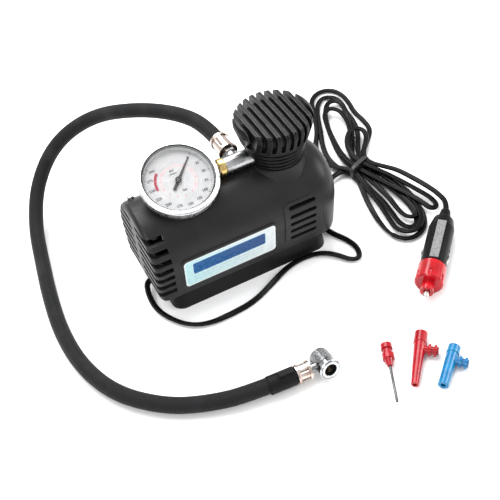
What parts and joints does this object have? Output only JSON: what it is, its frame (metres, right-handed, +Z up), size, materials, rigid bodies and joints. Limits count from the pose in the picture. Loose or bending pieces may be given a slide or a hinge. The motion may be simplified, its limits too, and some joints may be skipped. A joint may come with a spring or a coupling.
{
  "type": "portable tire inflator",
  "caption": "Portable 12 V air compressor with a ribbed head, pressure gauge, braided hose with valve chuck, coiled power lead with plug, and loose adapters.",
  "frame": {"origin": "centre of the flat underside of the base", "axes": "+X runs along the motor towards the compressor head, -Y faces the label side, +Z is up"},
  "size_m": [0.3232, 0.3283, 0.119],
  "materials": {
    "black_plastic": "satin moulded",
    "base_plastic": "satin moulded",
    "black_casting": "black finned casting",
    "label_print": "printed film",
    "zinc_screw": "zinc plated",
    "steel": "plain steel",
    "motor_steel": "zinc plated can",
    "copper_steel": "wound armature",
    "nylon_white": "nylon",
    "die_cast": "die cast",
    "brass": "bright",
    "chrome": "polished",
    "crimp_plate": "warm plated",
    "dark_steel": "black oxide",
    "gauge_shell": "gloss moulded",
    "bezel_silver": "satin silver",
    "dial_print": "printed dial",
    "clear_lens": "clear",
    "needle_black": "painted",
    "hose_braid": "braided over rubber",
    "rubber": "moulded rubber",
    "cord_pvc": "twin flex jacket",
    "tie_plastic": "ribbon",
    "plug_black": "moulded",
    "plug_grey": "insert",
    "plug_red": "translucent",
    "nickel": "nickel plated",
    "red_plastic": "moulded",
    "blue_plastic": "moulded"
  },
  "bodies": {
    "inflator": {"base_plinth": "base_plastic", "front_shell": "black_plastic", "rear_shell": "black_plastic", "shell_screws": "zinc_screw", "base_screws": "zinc_screw", "label_plate": "label_print", "motor_can": "motor_steel", "motor_end_cap": "nylon_white", "motor_screws": "steel", "cylinder_block": "die_cast", "gear_pin": "steel", "valve_plate": "steel", "valve_disc": "rubber", "valve_spring": "steel", "cylinder_head": "die_cast", "neck_rings": "black_casting", "fin_cap": "black_casting", "head_screws": "zinc_screw", "outlet_manifold": "chrome", "brass_collar": "brass", "gauge_case": "gauge_shell", "gauge_bezel": "bezel_silver", "gauge_dial": "dial_print", "gauge_lens": "clear_lens", "hose_barb": "dark_steel", "inlet_ferrule": "crimp_plate", "lead_grommet": "rubber", "air_hose": "hose_braid", "hose_end_sleeve": "rubber", "end_ferrule": "crimp_plate", "chuck_body": "chrome", "chuck_plug": "dark_steel", "chuck_seal": "rubber", "chuck_pin": "brass", "lead_front": "cord_pvc", "lead_hank": "cord_pvc", "lead_tail": "cord_pvc", "twist_tie": "tie_plastic", "plug_relief": "plug_black", "plug_body": "plug_black", "plug_strip": "plug_grey", "plug_contacts": "nickel", "plug_carrier": "nickel", "plug_fuse": "nickel"},
    "rotor": {"rotor": "copper_steel", "pinion": "brass", "cooling_fan": "nylon_white"},
    "gear": {"drive_gear": "nylon_white", "crank_pin": "steel"},
    "piston": {"piston_rod": "die_cast", "piston_cup": "rubber", "cup_screw": "steel"},
    "pointer": {"gauge_needle": "needle_black"},
    "chuck_collar": {"chuck_nut": "chrome"},
    "fuse_cap": {"plug_nose": "plug_red"},
    "centre_contact": {"plug_tip": "nickel"},
    "ball_needle": {"needle_base": "red_plastic", "needle_tube": "steel"},
    "cone_adapter": {"cone_nozzle": "red_plastic"},
    "airbed_adapter": {"mattress_nozzle": "blue_plastic"}
  },
  "joints": [
    {"name": "rotor_spin", "type": "hinge", "parent": "inflator", "child": "rotor", "pos_m": [0, 0, 0.057], "axis": [1, 0, 0], "continuous": true},
    {"name": "gear_spin", "type": "hinge", "parent": "inflator", "child": "gear", "pos_m": [0.0225, 0, 0.0366], "axis": [1, 0, 0], "continuous": true},
    {"name": "piston_stroke", "type": "slide", "parent": "inflator", "child": "piston", "axis": [0, 0, 1], "range_m": [0, 0.016]},
    {"name": "pointer_sweep", "type": "hinge", "parent": "inflator", "child": "pointer", "pos_m": [-0.0346, 0.0008, 0.09175], "axis": [0, 0.3746, -0.9272], "range_deg": [0, 270], "stiffness_Nm_per_rad": 0.0001, "springref_deg": -17.19},
    {"name": "chuck_collar_turn", "type": "hinge", "parent": "inflator", "child": "chuck_collar", "pos_m": [0.0018, -0.13778, 0.01057], "axis": [0, -0.9703, 0.2419], "continuous": true},
    {"name": "fuse_cap_turn", "type": "hinge", "parent": "inflator", "child": "fuse_cap", "pos_m": [0.10934, -0.10255, 0.0105], "axis": [-0.7071, -0.7071, 0], "continuous": true},
    {"name": "centre_contact_press", "type": "slide", "parent": "fuse_cap", "child": "centre_contact", "axis": [0.7071, 0.7071, 0], "range_m": [0, 0.0026], "stiffness_N_per_m": 400, "springref_m": -0.001},
    {"name": "ball_needle_lift", "type": "slide", "parent": "inflator", "child": "ball_needle", "axis": [0, 0, 1], "range_m": [0, 0.05]},
    {"name": "cone_adapter_lift", "type": "slide", "parent": "inflator", "child": "cone_adapter", "axis": [0, 0, 1], "range_m": [0, 0.05]},
    {"name": "airbed_adapter_lift", "type": "slide", "parent": "inflator", "child": "airbed_adapter", "axis": [0, 0, 1], "range_m": [0, 0.05]}
  ],
  "couplings": [
    {"joint": "gear_spin", "follows": "rotor_spin", "ratio": -0.21429}
  ]
}
